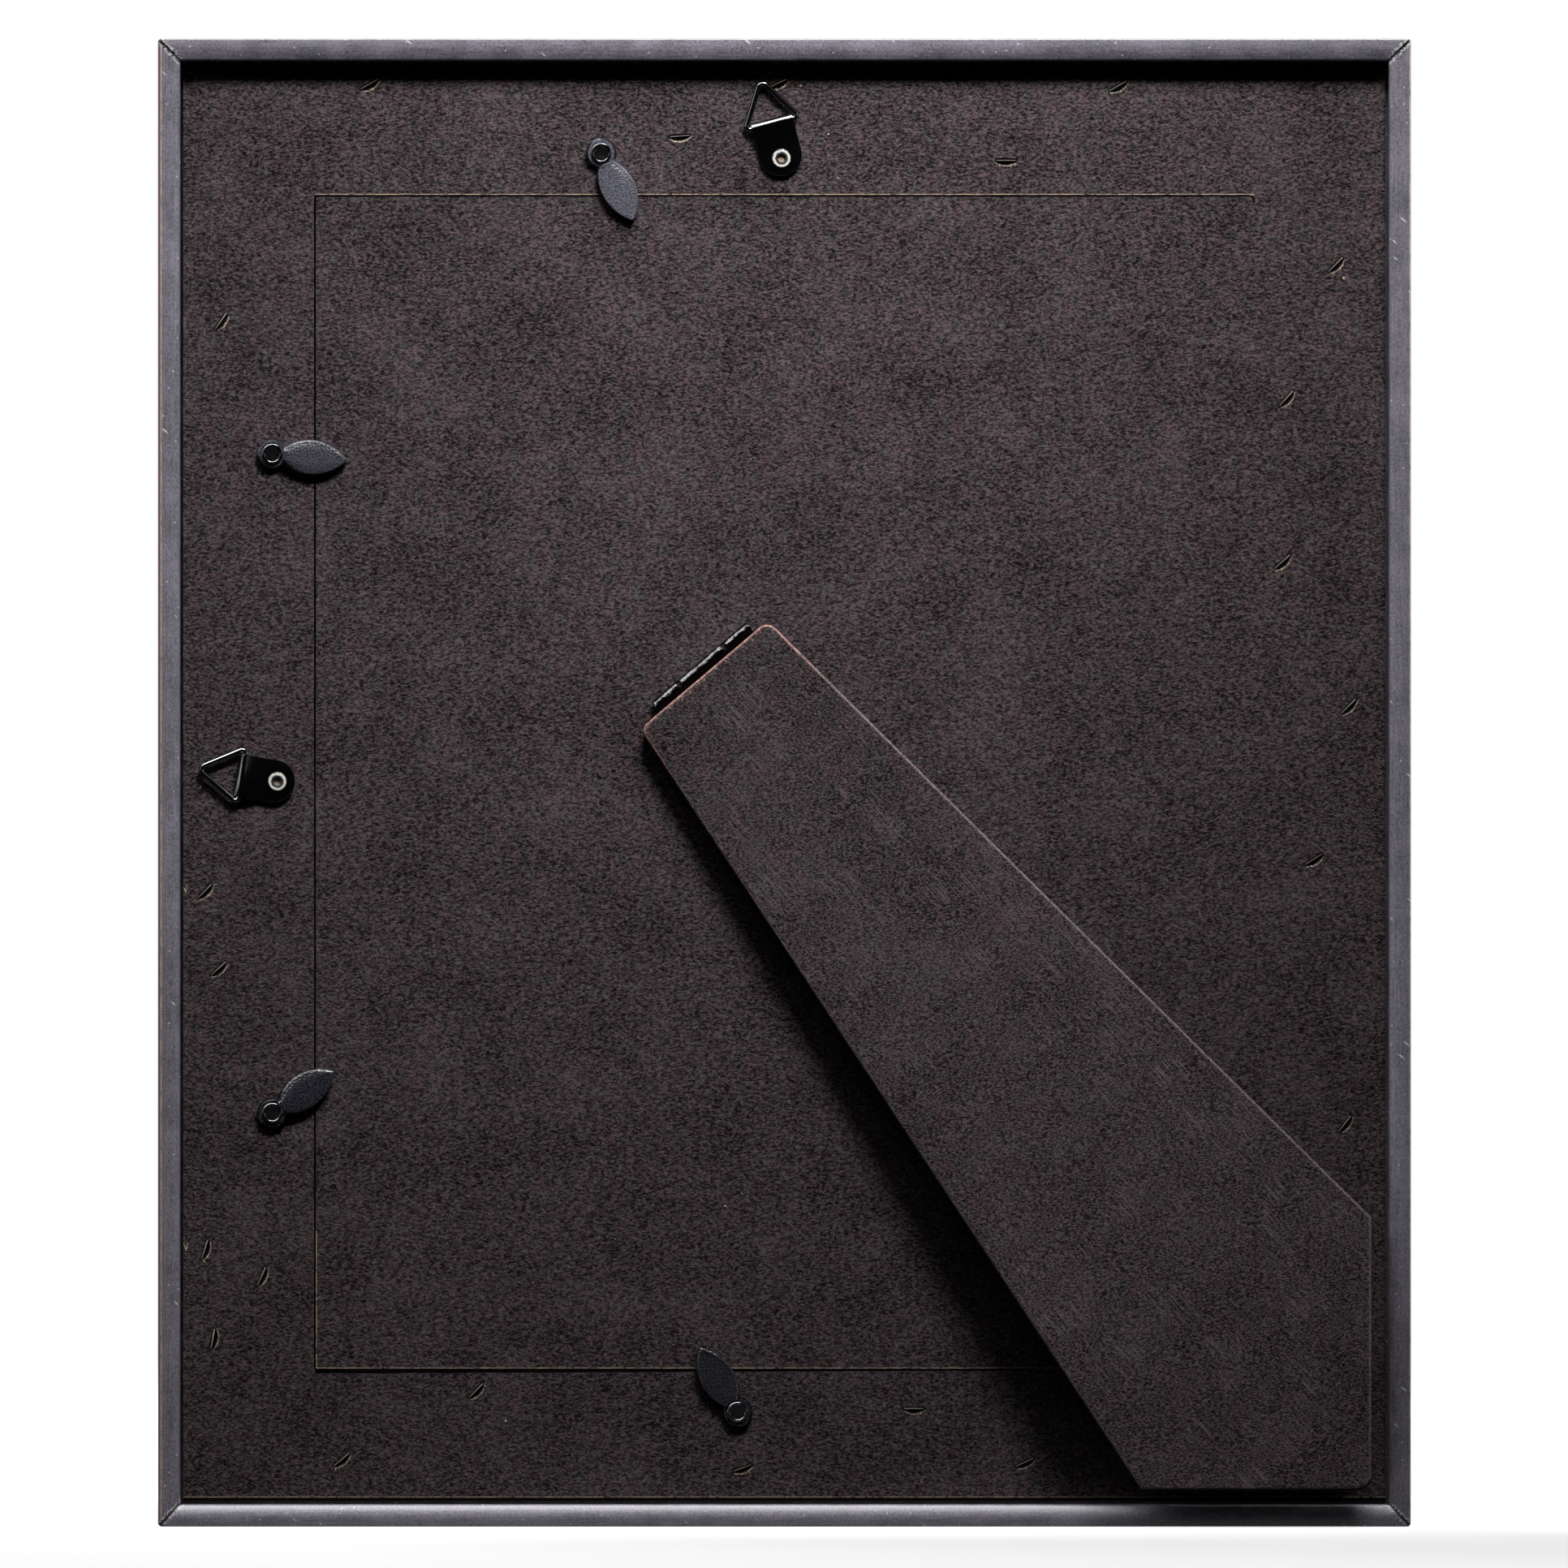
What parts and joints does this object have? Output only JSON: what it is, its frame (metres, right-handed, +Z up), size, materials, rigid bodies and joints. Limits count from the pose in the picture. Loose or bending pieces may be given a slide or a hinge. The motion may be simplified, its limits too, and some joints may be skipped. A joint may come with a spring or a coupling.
{
  "type": "easel back photo frame",
  "caption": "Standing picture frame with mitred rails, a stapled back with a door flap, turn buttons, ring hangers and a hinged easel leg.",
  "frame": {"origin": "middle of the bottom rail's lower face, on which the frame stands upright", "axes": "+Z up, -Y the picture side, +Y the back; left as seen from behind is +X"},
  "size_m": [0.271, 0.0324, 0.3218],
  "materials": {
    "rail_lacquer": "satin black lacquer, worn along the arrises",
    "black_fibreboard": "matt black-faced fibreboard with a brown raw edge",
    "picture_glass": "clear float glass",
    "blank_paper": "smooth white paper",
    "bare_steel": "bright wire",
    "black_moulded_plastic": "fine moulded grain",
    "dark_nickel": "bright dark nickel",
    "black_enamelled_steel": "gloss black enamel"
  },
  "bodies": {
    "frame": {"rail_top": "rail_lacquer", "rail_bottom": "rail_lacquer", "rail_left": "rail_lacquer", "rail_right": "rail_lacquer", "corner_v_nails": "bare_steel", "glass_pane": "picture_glass", "photo_insert": "blank_paper", "backing_board": "black_fibreboard", "backing_staples": "bare_steel", "button_eyelet_top": "black_enamelled_steel", "button_eyelet_left_upper": "black_enamelled_steel", "button_eyelet_left_lower": "black_enamelled_steel", "button_eyelet_bottom": "black_enamelled_steel", "hanger_rivet_top": "dark_nickel", "hanger_rivet_left": "dark_nickel", "hinge_fixed_leaf": "black_enamelled_steel", "hinge_pin": "black_enamelled_steel"},
    "leg": {"easel_leg": "black_fibreboard", "hinge_leg_leaf": "black_enamelled_steel"},
    "button_top": {"turn_button_top": "black_moulded_plastic"},
    "button_left_upper": {"turn_button_left_upper": "black_moulded_plastic"},
    "button_left_lower": {"turn_button_left_lower": "black_moulded_plastic"},
    "button_bottom": {"turn_button_bottom": "black_moulded_plastic"},
    "strap_top": {"hanger_strap_top": "black_enamelled_steel"},
    "ring_top": {"hanger_ring_top": "black_enamelled_steel"},
    "strap_left": {"hanger_strap_left": "black_enamelled_steel"},
    "ring_left": {"hanger_ring_left": "black_enamelled_steel"}
  },
  "joints": [
    {"name": "easel_leg_hinge", "type": "hinge", "parent": "frame", "child": "leg", "pos_m": [0.01761, 0.0045, 0.186], "axis": [0.7627, 0, -0.6468], "range_deg": [-4, 26]},
    {"name": "turn_button_top_pivot", "type": "hinge", "parent": "frame", "child": "button_top", "pos_m": [0.03962, 0.003, 0.2971], "axis": [0, 1, 0], "continuous": true},
    {"name": "turn_button_left_upper_pivot", "type": "hinge", "parent": "frame", "child": "button_left_upper", "pos_m": [0.1108, 0.003, 0.23202], "axis": [0, 1, 0], "continuous": true},
    {"name": "turn_button_left_lower_pivot", "type": "hinge", "parent": "frame", "child": "button_left_lower", "pos_m": [0.1108, 0.003, 0.0894], "axis": [0, 1, 0], "continuous": true},
    {"name": "turn_button_bottom_pivot", "type": "hinge", "parent": "frame", "child": "button_bottom", "pos_m": [0.01016, 0.003, 0.0247], "axis": [0, 1, 0], "continuous": true},
    {"name": "hanger_top_swivel", "type": "hinge", "parent": "frame", "child": "strap_top", "pos_m": [0.00061, 0.003, 0.296], "axis": [0, 1, 0], "continuous": true},
    {"name": "hanger_top_ring_swing", "type": "hinge", "parent": "strap_top", "child": "ring_top", "pos_m": [0.0026, 0.00433, 0.30344], "axis": [-0.9659, 0, 0.2588], "range_deg": [-3, 130]},
    {"name": "hanger_left_swivel", "type": "hinge", "parent": "frame", "child": "strap_left", "pos_m": [0.1097, 0.003, 0.16115], "axis": [0, 1, 0], "continuous": true},
    {"name": "hanger_left_ring_swing", "type": "hinge", "parent": "strap_left", "child": "ring_left", "pos_m": [0.1173, 0.00433, 0.16239], "axis": [-0.1599, 0, 0.9871], "range_deg": [-3, 130]}
  ]
}
